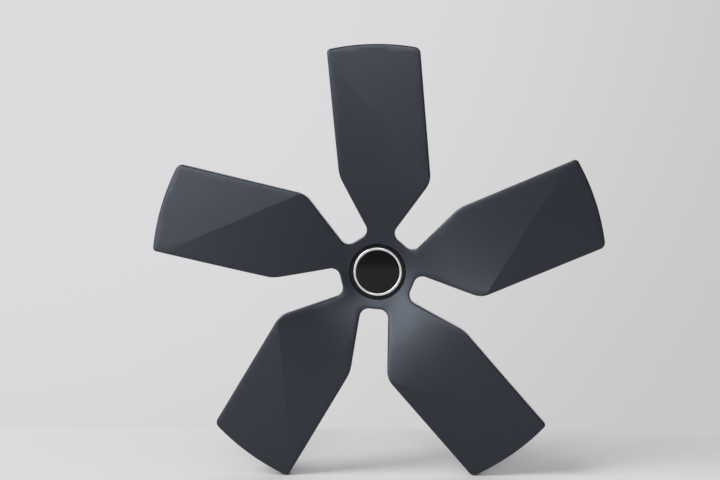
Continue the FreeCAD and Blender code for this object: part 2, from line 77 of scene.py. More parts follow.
form = {
    "hubLevel": 10.0, "ridgeHeight": 19.0, "ridgeStartOffset": 4.0, "ridgeEndOffset": 9.0, "facetFall": 3.2,
    "rampAngle": 11.0, "rampFade": 62.0,
    "dishStart": 29.2, "dishAngle": 12.0, "dishEdge": 60.0, "dishDrop": 0.2, "blend": 1.2,
}
hub = {
    "segments": 240, "fillStep": 6.0,
    "recessRadius": 28.8, "lip": 0.4, "lipMiddle": 0.3, "lipRows": (0.5, 1.5, 3.2, 5.6),
    "recessLevel": 5.5, "floorBack": 2.9,
    "collarRadius": 28.0, "boreRadius": 25.6, "collarEnd": -12.0, "collarEdge": 0.6, "boreEdge": 0.3,
    "notches": 6, "notchTop": -7.5, "notchCells": 4,
    "legs": 4, "legStation": 20.0, "legSize": (1.6, 7.0), "legHook": 0.9, "legRoom": 0.25,
}


def polar(radius, degrees):
    turn = math.radians(degrees)
    return np.array([-radius * math.sin(turn), radius * math.cos(turn)])


def unit(v):
    return v / np.linalg.norm(v)


def sampleLine(a, b, step):
    count = max(1, int(round(np.linalg.norm(b - a) / step)))
    return [a + (b - a) * i / count for i in range(count)]


def sampleArc(centre, a, b, turnLeft, step):
    first = math.atan2(*(a - centre)[::-1])
    last = math.atan2(*(b - centre)[::-1])
    radius = np.linalg.norm(a - centre)
    if turnLeft and last < first:
        last += 2 * math.pi
    if not turnLeft and last > first:
        last -= 2 * math.pi
    count = max(4, int(math.ceil(abs(last - first) * radius / step)))
    return [centre + radius * np.array([math.cos(first + (last - first) * i / count),
                                        math.sin(first + (last - first) * i / count)]) for i in range(count)]


# Corners of one blade, the same virtual corners as in the solid.
sectorAngle = 360 / blade["count"]
gapRight = -(sectorAngle / 2 + blade["gapLag"])
gapLeft = sectorAngle / 2 - blade["gapLag"]
gapHalf = math.degrees(math.atan2(blade["gapWidth"] / 2, blade["gapFloor"]))
gapReach = math.hypot(blade["gapWidth"] / 2, blade["gapFloor"])
rightMiddle, leftMiddle = polar(blade["gapFloor"], gapRight), polar(blade["gapFloor"], gapLeft)
rightGap, leftGap = polar(gapReach, gapRight + gapHalf), polar(gapReach, gapLeft - gapHalf)
cwShoulder, ccwShoulder = polar(*blade["cwShoulder"]), polar(*blade["ccwShoulder"])
cwTip, ccwTip = (polar(blade["tipRadius"], turn * blade["tipHalfAngle"]) for turn in (-1, 1))


def cornerRound(before, at, after, radius):
    back, ahead = unit(before - at), unit(after - at)
    half = math.acos(np.dot(back, ahead)) / 2
    reach = radius / math.tan(half)
    return at + back * reach, at + ahead * reach, at + unit(back + ahead) * radius / math.sin(half)


def tipRound(tip, shoulder, radius, side):
    along = unit(tip - shoulder)
    start = shoulder + np.array([-along[1], along[0]]) * side * radius
    half = np.dot(start, along)
    reach = -half + math.sqrt(half ** 2 - np.dot(start, start) + (blade["tipRadius"] - radius) ** 2)
    centre = start + along * reach
    return shoulder + along * reach, centre * blade["tipRadius"] / np.linalg.norm(centre), centre


def sectorOutline():
    step = blade["step"]
    r1, r2, rc = cornerRound(rightMiddle, rightGap, cwShoulder, blade["roundGap"])
    a1, a2, ac = cornerRound(rightGap, cwShoulder, cwTip, blade["roundCwShoulder"])
    c1, c2, cc = tipRound(cwTip, cwShoulder, blade["roundCwTip"], 1)
    b2, b1, bc = tipRound(ccwTip, ccwShoulder, blade["roundCcwTip"], -1)
    d1, d2, dc = cornerRound(ccwTip, ccwShoulder, leftGap, blade["roundCcwShoulder"])
    l1, l2, lc = cornerRound(ccwShoulder, leftGap, leftMiddle, blade["roundGap"])
    origin = np.zeros(2)
    points = sampleLine(rightMiddle, r1, step)
    points += sampleArc(rc, r1, r2, False, blade["gapStep"]) + sampleLine(r2, a1, step)
    points += sampleArc(ac, a1, a2, True, blade["cwShoulderStep"]) + sampleLine(a2, c1, step)
    points += sampleArc(cc, c1, c2, True, blade["cwTipStep"]) + sampleArc(origin, c2, b1, True, step)
    points += sampleArc(bc, b1, b2, True, blade["ccwTipStep"]) + sampleLine(b2, d1, step)
    points += sampleArc(dc, d1, d2, True, blade["ccwShoulderStep"]) + sampleLine(d2, l1, step)
    points += sampleArc(lc, l1, l2, False, blade["gapStep"]) + sampleLine(l2, leftMiddle, step)
    return np.array(points + [leftMiddle])


def turned(points, degrees):
    c, s = math.cos(math.radians(degrees)), math.sin(math.radians(degrees))
    return points @ np.array([[c, s], [-s, c]])


ridgeStart = cwShoulder + unit(cwTip - cwShoulder) * form["ridgeStartOffset"]
ridgeEnd = ccwTip + unit(ccwShoulder - ccwTip) * form["ridgeEndOffset"]
ridgeAlong = unit(ridgeEnd - ridgeStart)
ridgeInward = np.array([-ridgeAlong[1], ridgeAlong[0]])
facetSlope = form["facetFall"] / np.dot(cwTip - ridgeStart, -ridgeInward)
ridgeOverrun = 30.0  # the ridge's line meets the edge within this of its start, and again far behind it


def inwardOf(points):
    # unit normals into the blade, read round the whole star so that they agree where two blades meet
    star = np.vstack([turned(points[:-1], sectorAngle * k) for k in range(blade["count"])])
    tangent = np.roll(star, -1, 0) - np.roll(star, 1, 0)
    tangent /= np.linalg.norm(tangent, axis=1)[:, None]
    return np.stack([-tangent[:, 1], tangent[:, 0]], 1)[:len(points)]


def withRidgeEnds(points):
    # moves the nearest outline point to each place where the ridge runs into the edge
    face = points + inwardOf(points) * blade["edgeRound"]
    side = (face - ridgeStart) @ ridgeInward
    reach = (face - ridgeStart) @ ridgeAlong
    moved, hits = points.copy(), []
    for i in range(len(face) - 1):
        if side[i] * side[i + 1] < 0 and reach[i] > -ridgeOverrun:
            share = side[i] / (side[i] - side[i + 1])
            hits.append(i + int(share > 0.5))
            moved[hits[-1]] = points[i] + (points[i + 1] - points[i]) * share
    print("ridge meets the edge at", hits)
    return moved, hits


outline, ridgeHits = withRidgeEnds(sectorOutline())
inward = inwardOf(outline)


noFloor = -100.0  # below everything


class Shell:
    # points with how they follow the front face: height = max(follow * front + lift, low);
    # bare is 1 where the moulding is left unpainted
    def __init__(self):
        self.points, self.faces, self.bare = [], [], 0.0

    def add(self, xy, follow, lift, low=noFloor):
        start = len(self.points)
        self.points += [(p[0], p[1], follow, lift, low, self.bare) for p in xy]
        return list(range(start, start + len(xy)))

    def strip(self, lower, upper, closed=False):
        count = len(lower)
        for i in range(count if closed else count - 1):
            j = (i + 1) % count
            self.faces.append((lower[i], lower[j], upper[j], upper[i]))


def inside(points, loop):
    x, y = points[:, 0], points[:, 1]
    hit = np.zeros(len(points), bool)
    for (ax, ay), (bx, by) in zip(loop, np.roll(loop, -1, 0)):
        if ay != by:
            cross = (ay > y) != (by > y)
            hit ^= cross & (x < (bx - ax) * (y - ay) / (by - ay) + ax)
    return hit


def fill(shell, loops, lines, step, follow, lift, low=noFloor, up=True):
    # triangles inside the first loop and outside the others, with the given lines kept as edges
    verts, edges = [], []
    for loop in loops:
        start = len(verts)
        verts += [tuple(p) for p in loop]
        edges += [(start + i, start + (i + 1) % len(loop)) for i in range(len(loop))]
    for line in lines:
        start = len(verts)
        verts += [tuple(p) for p in line]
        edges += [(start + i, start + i + 1) for i in range(len(line) - 1)]
    allLoops = np.array(verts)
    least, most = loops[0].min(0), loops[0].max(0)
    rowHeight, clearance = 0.866, 0.55  # of equal triangles, and from the loops, as shares of the step
    rows = np.arange(least[1], most[1], step * rowHeight)
    grid = np.array([(x + (step / 2 if k % 2 else 0), y) for k, y in enumerate(rows)
                     for x in np.arange(least[0], most[0], step)])
    keep = inside(grid, loops[0])
    for loop in loops[1:]:
        keep &= ~inside(grid, loop)
    grid = grid[keep]
    near = np.array([np.min(np.sum((allLoops - p) ** 2, 1)) for p in grid])
    grid = grid[near > (clearance * step) ** 2]
    verts += [tuple(p) for p in grid]
    flat, links, tris, _, given, _ = delaunay_2d_cdt([Vector(v) for v in verts], edges, [], 0, 1e-4)
    flat = np.array([tuple(v) for v in flat])
    tris = np.array(tris)
    centre = flat[tris].mean(1)
    good = inside(centre, loops[0])
    for loop in loops[1:]:
        good &= ~inside(centre, loop)
    tris = tris[good]
    # slivers on the wrong side of a straight run leave an edge that nothing shares
    kept = {frozenset(link) for link, source in zip(links, given) if source}
    for _ in range(2):
        sides = [[frozenset((t[k], t[k - 1])) for k in range(3)] for t in tris.tolist()]
        uses = Counter(side for three in sides for side in three)
        tris = tris[[all(uses[side] > 1 or side in kept for side in three) for three in sides]]
    area = np.cross(flat[tris[:, 1]] - flat[tris[:, 0]], flat[tris[:, 2]] - flat[tris[:, 0]])
    ids = shell.add(flat, follow, lift, low)
    for t, a in zip(tris, area):
        t = t if (a > 0) == up else t[::-1]
        shell.faces.append(tuple(ids[i] for i in t))
    return ids


def block(shell, left, right, follow, topLift, bottomFollow, bottomLift):
    # a rib between two parallel lines, closed all round
    tl, tr = shell.add(left, follow, topLift), shell.add(right, follow, topLift)
    bl, br = shell.add(left, bottomFollow, bottomLift), shell.add(right, bottomFollow, bottomLift)
    shell.strip(tl, tr)
    shell.strip(br, bl)
    shell.strip(bl, tl)
    shell.strip(tr, br)
    shell.faces.append((tl[0], tr[0], br[0], bl[0]))
    shell.faces.append((tl[-1], bl[-1], br[-1], tr[-1]))


def arcPoints(radius, first, last, count):
    return np.array([polar(radius, first + (last - first) * i / count) for i in range(count + 1)])


def bladeSector():
    shell = Shell()
    depth = blade["rimDepth"]
    cells = hub["segments"] // blade["count"]
    # edge rounding, outer wall and the rounded back edge, ring by ring
    rings = []
    for i in range(blade["edgeRows"] + 1):
        turn = math.pi / 2 * i / blade["edgeRows"]
        rings.append((blade["edgeRound"] * (1 - math.sin(turn)), blade["edgeRound"] * (1 - math.cos(turn)), noFloor))
    drop, least = blade["wallRow"]
    rings.append((0.0, drop * depth, least * depth))
    for i in range(3):
        turn = math.pi / 4 * i
        rings.append((blade["backRound"] * (1 - math.cos(turn)), depth - blade["backRound"] * (1 - math.sin(turn)),
                      blade["backRound"] * (1 - math.sin(turn))))
    rows = [shell.add(outline + inward * inset, 1.0, -drop, low) for inset, drop, low in rings]
    for lower, upper in zip(rows[1:], rows):
        shell.strip(lower, upper)
    # front skin, with the ridge kept as one straight edge
    face = outline + inward * blade["edgeRound"]
    lip = hub["recessRadius"] + hub["lip"]
    lipArc = arcPoints(lip, gapLeft, gapRight, cells)
    rows = [lip + reach for reach in hub["lipRows"]]
    loop = np.vstack([face, [polar(r, gapLeft) for r in reversed(rows)], lipArc, [polar(r, gapRight) for r in rows]])
    first, last = (face[i] for i in ridgeHits)
    ridge = np.array(sampleLine(first, last, blade["step"]) + [last])
    fill(shell, [loop], [ridge] + [arcPoints(r, gapLeft, gapRight, cells) for r in rows], blade["fillStep"], 1.0, 0.0)
    # back, left bare: rim edge and hub seat round the hollow, hollow wall and the inside of the skin
    shell.bare = 1.0
    rim = outline + inward * blade["backRound"]
    hollow = outline + inward * blade["rimWall"]
    hollow = hollow[np.linalg.norm(hollow, axis=1) > blade["coreRadius"] + blade["coreRoom"]]
    start, end = (math.degrees(math.atan2(-p[0], p[1])) for p in (hollow[0], hollow[-1]))
    hollow = np.vstack([hollow, arcPoints(blade["coreRadius"], end, start, blade["coreCells"])])
    seat = arcPoints(hub["collarRadius"], gapLeft, gapRight, cells)
    backLoop = np.vstack([rim, sampleLine(rim[-1], seat[0], blade["step"])[1:], seat,
                          sampleLine(seat[-1], rim[0], blade["step"])[1:]])
    fill(shell, [backLoop, hollow], [], blade["fillStep"], 1.0, -depth, 0.0, up=False)
    mouth = shell.add(hollow, 1.0, -depth, 0.0)
    ceiling = shell.add(hollow, 1.0, -blade["skin"])
    shell.strip(ceiling, mouth, closed=True)
    inner = ridge[inside(ridge, hollow)][1:-1]
    fill(shell, [hollow], [inner], blade["fillStep"], 1.0, -blade["skin"], up=False)
    # spine, cross ribs and the clip tower
    half = blade["ribThickness"] / 2
    root, tail = blade["ribRoot"] - blade["skin"], blade["ribSetback"] - depth
    early, late = blade["spineEnds"]
    spine = np.arange(blade["coreRadius"] - early, blade["tipRadius"] - late, blade["spineStep"])
    block(shell, *(np.stack([np.full(len(spine), x), spine], 1) for x in (-half, half)), 1.0, root, 1.0, tail)
    held = outline + inward * (blade["rimWall"] * blade["ribSink"])
    widest = 120.0  # more than half the width of any blade
    for share in blade["crossRibs"]:
        level = share * blade["tipRadius"]
        across = np.array([(x, level) for x in np.arange(-widest, widest, 0.5)])  # tries every half mm
        across = across[inside(across, held)][:, 0]
        xs = np.linspace(across.min(), across.max(), blade["ribCells"])
        block(shell, *(np.stack([xs, np.full(len(xs), level + y)], 1) for y in (half, -half)), 1.0, root, 1.0, tail)
    wide, thick = (v / 2 for v in blade["towerSize"])
    sides = [np.array([(x, blade["towerStation"] + y) for x in (-wide, wide)]) for y in (thick, -thick)]
    block(shell, *sides, 1.0, root, 0.0, blade["towerEnd"])
    return shell


def shellMesh(name, shell):
    mesh = bpy.data.meshes.new(name)
    mesh.from_pydata([(p[0], p[1], 0.0) for p in shell.points], [], shell.faces)
    for index, label in ((2, "follow"), (3, "lift"), (4, "low"), (5, "bare")):
        attribute = mesh.attributes.new(label, "FLOAT", "POINT")
        attribute.data.foreach_set("value", [p[index] for p in shell.points])
    return mesh


def addNode(tree, kind, settings=None, inputs=None):
    # inputs are plain values or the output sockets that feed them
    node = tree.nodes.new(kind)
    for key, value in (settings or {}).items():
        setattr(node, key, value)
    for key, value in (inputs or {}).items():
        if isinstance(value, bpy.types.NodeSocket):
            tree.links.new(value, node.inputs[key])
        else:
            node.inputs[key].default_value = value
    return node


sector = bladeSector()
print("blade sector", len(sector.points), "points", len(sector.faces), "faces")


def inputSocket(tree, name, kind, value=None):
    socket = tree.interface.new_socket(name, in_out="INPUT", socket_type=kind)
    if value is not None:
        socket.default_value = value


def bladeTree():
    # raises the flat blade to its facets, then sets it round the axis and stands the star up
    tree = bpy.data.node_groups.new("bladeForm", "GeometryNodeTree")
    inputSocket(tree, "Blade", "NodeSocketGeometry")
    for key, value in form.items():
        inputSocket(tree, key, "NodeSocketFloat", value)
    inputSocket(tree, "facetSlope", "NodeSocketFloat", float(facetSlope))
    inputSocket(tree, "count", "NodeSocketInt", blade["count"])
    for name, value in (("ridgeStart", ridgeStart), ("ridgeAlong", ridgeAlong), ("ridgeInward", ridgeInward)):
        inputSocket(tree, name, "NodeSocketVector", (float(value[0]), float(value[1]), 0.0))
    inputSocket(tree, "finish", "NodeSocketMaterial")
    tree.interface.new_socket("Star", in_out="OUTPUT", socket_type="NodeSocketGeometry")
    given = tree.nodes.new("NodeGroupInput").outputs

    known = {socket.name: socket for socket in given}
    place = tree.nodes.new("GeometryNodeInputPosition").outputs[0]
    offset = addNode(tree, "ShaderNodeVectorMath", {"operation": "SUBTRACT"},
                     {0: place, 1: given["ridgeStart"]}).outputs[0]
    for name, axis in (("along", "ridgeAlong"), ("inside", "ridgeInward")):
        known[name] = addNode(tree, "ShaderNodeVectorMath", {"operation": "DOT_PRODUCT"},
                              {0: offset, 1: given[axis]}).outputs["Value"]
    known["reach"] = addNode(tree, "ShaderNodeVectorMath", {"operation": "LENGTH"}, {0: place}).outputs["Value"]
    known["order"] = tree.nodes.new("GeometryNodeInputIndex").outputs[0]
    for name in ("follow", "lift", "low"):
        known[name] = addNode(tree, "GeometryNodeInputNamedAttribute", {"data_type": "FLOAT"},
                              {"Name": name}).outputs[0]
    # the lower of ramp and facet, melted into the hub's cone, then each point's own offset from that front
    steps = (
        ("level", "ADD", "hubLevel", "ridgeHeight"),
        ("rampTurn", "RADIANS", "rampAngle"), ("rampSlope", "TANGENT", "rampTurn"),
        ("travel", "DIVIDE", "along", "rampFade"), ("fading", "MULTIPLY", "travel", -1.0),
        ("faded", "EXPONENT", "fading"), ("slope", "MULTIPLY", "rampSlope", "faded"),
        ("rampFall", "MULTIPLY", "slope", "inside"), ("ramp", "SUBTRACT", "level", "rampFall"),
        ("facetRise", "MULTIPLY", "facetSlope", "inside"), ("facet", "ADD", "level", "facetRise"),
        ("raised", "MINIMUM", "ramp", "facet"),
        ("dishReach", "MINIMUM", "reach", "dishEdge"), ("dishRun", "SUBTRACT", "dishReach", "dishStart"),
        ("dishIn", "MAXIMUM", "dishRun", 0.0),
        ("dishTurn", "RADIANS", "dishAngle"), ("dishSlope", "TANGENT", "dishTurn"),
        ("dishRise", "MULTIPLY", "dishIn", "dishSlope"),
        ("beyond", "SUBTRACT", "reach", "dishEdge"), ("outside", "MAXIMUM", "beyond", 0.0),
        ("dishFall", "MULTIPLY", "outside", "dishDrop"), ("dishNet", "SUBTRACT", "dishRise", "dishFall"),
        ("dish", "ADD", "hubLevel", "dishNet"), ("softness", "MULTIPLY", "blend", 2.0),
        ("front", "SMOOTH_MAX", "raised", "dish", "softness"),
        ("followed", "MULTIPLY", "follow", "front"), ("lifted", "ADD", "followed", "lift"),
        ("height", "MAXIMUM", "lifted", "low"),
        ("share", "DIVIDE", 2 * math.pi, "count"), ("turn", "MULTIPLY", "order", "share"),
    )
    for name, operation, *operands in steps:
        feeds = {i: known.get(operand, operand) for i, operand in enumerate(operands)}
        known[name] = addNode(tree, "ShaderNodeMath", {"operation": operation}, feeds).outputs[0]
    split = addNode(tree, "ShaderNodeSeparateXYZ", None, {0: place}).outputs
    raised = addNode(tree, "ShaderNodeCombineXYZ", None, {0: split[0], 1: split[1], 2: known["height"]}).outputs[0]
    formed = addNode(tree, "GeometryNodeSetPosition", None, {"Geometry": given["Blade"], "Position": raised}).outputs[0]
    spots = addNode(tree, "GeometryNodePoints", None, {"Count": given["count"]}).outputs[0]
    turn = addNode(tree, "ShaderNodeCombineXYZ", None, {2: known["turn"]}).outputs[0]
    turn = addNode(tree, "FunctionNodeEulerToRotation", None, {0: turn}).outputs[0]
    star = addNode(tree, "GeometryNodeInstanceOnPoints", None,
                   {"Points": spots, "Instance": formed, "Rotation": turn}).outputs[0]
    star = addNode(tree, "GeometryNodeRealizeInstances", None, {0: star}).outputs[0]
    star = addNode(tree, "GeometryNodeMergeByDistance", None, {"Geometry": star, "Distance": blade["weld"]}).outputs[0]
    star = addNode(tree, "GeometryNodeTransform", None,
                   {"Geometry": star, "Rotation": (math.pi / 2, 0, 0), "Scale": (mm,) * 3}).outputs[0]
    star = addNode(tree, "GeometryNodeSetMaterial", None, {"Geometry": star, "Material": given["finish"]}).outputs[0]
    addNode(tree, "NodeGroupOutput", None, {"Star": star})
    return tree


def repeatTree():
    # sets one piece round the wheel's axis and stands the group up
    tree = bpy.data.node_groups.new("roundTheAxis", "GeometryNodeTree")
    inputSocket(tree, "Piece", "NodeSocketGeometry")
    inputSocket(tree, "count", "NodeSocketInt", blade["count"])
    inputSocket(tree, "finish", "NodeSocketMaterial")
    tree.interface.new_socket("Group", in_out="OUTPUT", socket_type="NodeSocketGeometry")
    given = tree.nodes.new("NodeGroupInput").outputs
    spots = addNode(tree, "GeometryNodePoints", None, {"Count": given["count"]}).outputs[0]
    order = tree.nodes.new("GeometryNodeInputIndex").outputs[0]
    share = addNode(tree, "ShaderNodeMath", {"operation": "DIVIDE"}, {0: 2 * math.pi, 1: given["count"]}).outputs[0]
    turn = addNode(tree, "ShaderNodeMath", {"operation": "MULTIPLY"}, {0: order, 1: share}).outputs[0]
    turn = addNode(tree, "ShaderNodeCombineXYZ", None, {2: turn}).outputs[0]
    turn = addNode(tree, "FunctionNodeEulerToRotation", None, {0: turn}).outputs[0]
    group = addNode(tree, "GeometryNodeInstanceOnPoints", None,
                    {"Points": spots, "Instance": given["Piece"], "Rotation": turn}).outputs[0]
    group = addNode(tree, "GeometryNodeTransform", None,
                    {"Geometry": group, "Rotation": (math.pi / 2, 0, 0), "Scale": (mm,) * 3}).outputs[0]
    group = addNode(tree, "GeometryNodeRealizeInstances", None, {0: group}).outputs[0]
    group = addNode(tree, "GeometryNodeSetMaterial", None, {"Geometry": group, "Material": given["finish"]}).outputs[0]
    addNode(tree, "NodeGroupOutput", None, {"Group": group})
    return tree


def grown(name, mesh, tree, settings):
    # runs a node tree on a mesh and keeps the result as a plain mesh
    carrier = bpy.data.objects.new(name + "Carrier", mesh)
    scene.collection.objects.link(carrier)
    modifier = carrier.modifiers.new("grow", "NODES")
    modifier.node_group = tree
    for socket in tree.interface.items_tree:
        if socket.item_type == "SOCKET" and socket.in_out == "INPUT" and socket.name in settings:
            modifier[socket.identifier] = settings[socket.name]
    result = bpy.data.meshes.new_from_object(carrier.evaluated_get(bpy.context.evaluated_depsgraph_get()))
    carrier.modifiers.remove(modifier)
    bpy.data.objects.remove(carrier)
    result.name = name
    return result


upright = Matrix.Rotation(math.pi / 2, 4, "X") @ Matrix.Scale(mm, 4)


def plainMesh(name, points, faces):
    mesh = bpy.data.meshes.new(name)
    mesh.from_pydata(points, [], faces)
    return mesh


doublesApart, sliverLength = 2e-6, 1e-7  # m


def finished(name, meshes, material, smooth):
    # joins meshes into one closed piece with outward faces and edges sharp above the given angle
    bm = bmesh.new()
    for mesh in meshes:
        bm.from_mesh(mesh)
    bmesh.ops.remove_doubles(bm, verts=bm.verts, dist=doublesApart)
    bmesh.ops.dissolve_degenerate(bm, edges=bm.edges, dist=sliverLength)
    bmesh.ops.recalc_face_normals(bm, faces=bm.faces)
    openEdges = sum(1 for e in bm.edges if len(e.link_faces) != 2)
    joined = bpy.data.meshes.new(name)
    bm.to_mesh(joined)
    bm.free()
    for label in ("follow", "lift", "low"):
        if label in joined.attributes:
            joined.attributes.remove(joined.attributes[label])
    joined.materials.append(material)
    joined.polygons.foreach_set("material_index", [0] * len(joined.polygons))
    joined.shade_smooth()
    joined.set_sharp_from_angle(angle=math.radians(smooth))
    piece = bpy.data.objects.new(name, joined)
    scene.collection.objects.link(piece)
    print(name, len(joined.polygons), "faces,", openEdges, "open edges")
    return piece


def hubBack():
    # badge recess, floor with leg slots, bore and notched collar
    shell = Shell()
    count = hub["segments"]
    angles = gapRight + np.arange(count) * 360.0 / count
    circle = np.array([polar(1.0, a) for a in angles])

    def level(radius, z):
        return shell.add(circle * radius, 0.0, z)

    r, lip, top = hub["recessRadius"], hub["lip"], form["hubLevel"]
    middle = hub["lipMiddle"] * lip
    rows = [level(r + lip, top), level(r + middle, top - middle), level(r, top - lip), level(r, hub["recessLevel"])]
    for upper, lower in zip(rows, rows[1:]):
        shell.strip(lower, upper, closed=True)
    shell.bare = 1.0
    thick, wide = hub["legSize"]
    near = hub["legStation"] - thick / 2 - hub["legRoom"]
    far = hub["legStation"] + thick / 2 + hub["legHook"] + hub["legRoom"]
    aside = wide / 2 + hub["legRoom"]
    slot = np.array([(near, -aside), (far, -aside), (far, aside), (near, aside)])
    slots = [turned(slot, 360 / hub["legs"] * k) for k in range(hub["legs"])]
    fill(shell, [circle * r] + slots, [], hub["fillStep"], 0.0, hub["recessLevel"])
    fill(shell, [circle * hub["boreRadius"]] + slots, [], hub["fillStep"], 0.0, hub["floorBack"], up=False)
    for slot in slots:
        shell.strip(shell.add(slot, 0.0, hub["floorBack"]), shell.add(slot, 0.0, hub["recessLevel"]), closed=True)
    bore, collar, end = hub["boreRadius"], hub["collarRadius"], hub["collarEnd"]
    boreTop, boreMid = level(bore, hub["floorBack"]), level(bore, hub["notchTop"])
    outTop, outMid = level(collar, 0.0), level(collar, hub["notchTop"])
    shell.strip(boreMid, boreTop, closed=True)
    shell.strip(outTop, outMid, closed=True)
    outer = [outMid, level(collar, end + hub["collarEdge"]), level(collar - hub["collarEdge"], end)]
    inner = [boreMid, level(bore, end + hub["boreEdge"]), level(bore + hub["boreEdge"], end)]
    notched = set()
    for k in range(hub["notches"]):
        first = int(round((360 / hub["notches"] * k - gapRight) * count / 360 - hub["notchCells"] / 2))
        notched |= {(first + i) % count for i in range(hub["notchCells"])}
    for i in range(count):
        j = (i + 1) % count
        if i in notched:
            shell.faces.append((outMid[i], outMid[j], boreMid[j], boreMid[i]))
            continue
        for a, b in zip(outer, outer[1:]):
            shell.faces.append((a[i], a[j], b[j], b[i]))
        for a, b in zip(inner, inner[1:]):
            shell.faces.append((a[j], a[i], b[i], b[j]))
        shell.faces.append((outer[2][i], outer[2][j], inner[2][j], inner[2][i]))
        for edge, neighbour in ((i, (i - 1) % count), (j, j)):
            if neighbour in notched:
                shell.faces.append(tuple(row[edge] for row in outer) + tuple(row[edge] for row in reversed(inner)))
    mesh = plainMesh("hubBack", [(p[0], p[1], p[3]) for p in shell.points], shell.faces)
    bare = mesh.attributes.new("bare", "FLOAT", "POINT")
    bare.data.foreach_set("value", [p[5] for p in shell.points])
    mesh.transform(upright)
    return mesh


def lathe(name, profile):
    # closed profile of (radius, height) turned round the axis
    points, faces, rows, segments = [], [], [], hub["segments"]
    turns = [2 * math.pi * i / segments for i in range(segments)]
    for radius, z in profile:
        start = len(points)
        if radius == 0:
            points.append((0, 0, z))
            rows.append([start] * segments)
        else:
            points += [(radius * math.cos(turn), radius * math.sin(turn), z) for turn in turns]
            rows.append(list(range(start, start + segments)))
    for upper, lower in zip(rows, rows[1:]):
        for i in range(segments):
            j = (i + 1) % segments
            face = list(dict.fromkeys((upper[i], lower[i], lower[j], upper[j])))
            if len(face) > 2:
                faces.append(face)
    mesh = plainMesh(name, points, faces)
    mesh.transform(upright)
    return mesh


coarse = 1e9  # a step this long leaves an arc its fewest points


def rounded(corners):
    # closed polygon with each corner (x, y, radius) rounded
    out = []
    for i, (x, y, radius) in enumerate(corners):
        at = np.array((x, y), float)
        if radius == 0:
            out.append(at)
            continue
        before, after = (np.array(corners[(i + k) % len(corners)][:2], float) for k in (-1, 1))
        a, b, centre = cornerRound(before, at, after, radius)
        back, ahead = at - before, after - at
        out += sampleArc(centre, a, b, back[0] * ahead[1] > back[1] * ahead[0], coarse) + [b]
    return out


def prism(name, profile, half):
    # profile points (x, z) pushed both ways along y
    points, count = [], len(profile)
    for side in (-half, half):
        points += [(p[0], side, p[1]) for p in profile]
    faces = [(i, (i + 1) % count, (i + 1) % count + count, i + count) for i in range(count)]
    faces += [tuple(range(count)), tuple(reversed(range(count, 2 * count)))]
    return plainMesh(name, points, faces)


badge = {
    "radius": 28.6, "seat": 5.5, "face": 8.5, "crown": 1.0, "crownRows": 14, "crownReach": 0.96,
    "edge": 0.5, "backEdge": 0.2, "lip": 0.15,
    "grooveInner": 22.3, "grooveOuter": 24.95, "grooveLevel": 7.6,
    "legSink": 0.3, "hookTop": 2.65, "hookLead": 3.0,  # lead as a multiple of the hook
    "legRounds": (0.3, 0.3, 0.25, 0.15, 0.1),
}
ringSize = {"inner": 22.35, "outer": 24.9, "foot": 7.6, "top": 9.5, "crownRound": 0.55, "footRound": 0.12}
clip = {
    "middle": 2.5, "low": 0.5, "bulge": 3.2, "leg": 11.5, "gauge": 0.8, "width": 9.0, "edge": 0.12, "bendRound": 0.75,
    # each bend of a leg: share of the bulge, share of the leg's length, radius
    "bends": ((0.0, 0.14, 1.4), (1.0, 0.5, 2.2), (0.0, 0.88, 1.0)), "tail": (0.64, 0.15),
}


def badgeMeshes(finish):
    # crowned disc with a groove for the ring, and snap legs behind
    inner, outer, level = badge["grooveInner"], badge["grooveOuter"], badge["grooveLevel"]
    face, seat, lip, crown, rows = (badge[key] for key in ("face", "seat", "lip", "crown", "crownRows"))
    edge = rounded([(0, face, 0), (inner, face, lip), (inner, level, 0), (outer, level, 0), (outer, face, lip),
                    (badge["radius"], face, badge["edge"]), (badge["radius"], seat, badge["backEdge"]), (0, seat, 0)])
    profile = [np.array((inner * badge["crownReach"] * i / rows, face)) for i in range(rows)] + edge[1:]
    sphere, slack = (inner ** 2 + crown ** 2) / (2 * crown), 1e-6
    domed = []
    for radius, z in profile:
        if radius < inner + slack and z > face - lip - slack:
            z += crown - sphere + math.sqrt(sphere ** 2 - radius ** 2)
        domed.append((float(radius), float(z)))
    thick, wide = hub["legSize"]
    near, far = (hub["legStation"] + side * thick / 2 for side in (-1, 1))
    root, top, hook = seat + badge["legSink"], badge["hookTop"], hub["legHook"]
    end = top - badge["hookLead"] * hook
    corners = ((near, end), (far, end), (far + hook, top - hook), (far + hook, top), (far, top))
    bends = [(*corner, radius) for corner, radius in zip(corners, badge["legRounds"])]
    leg = rounded([(near, root, 0), *bends, (far, root, 0)])
    legs = grown("badgeLegs", prism("badgeLeg", leg, wide / 2), aroundAxis, {"count": hub["legs"], "finish": finish})
    return [lathe("badgeFace", domed), legs]


def ringMesh():
    r = ringSize
    profile = rounded([(r["inner"], r["foot"], r["footRound"]), (r["inner"], r["top"], r["crownRound"]),
                       (r["outer"], r["top"], r["crownRound"]), (r["outer"], r["foot"], r["footRound"])])
    profile = [(float(a), float(z)) for a, z in profile]
    return lathe("ringTurned", profile + profile[:1])


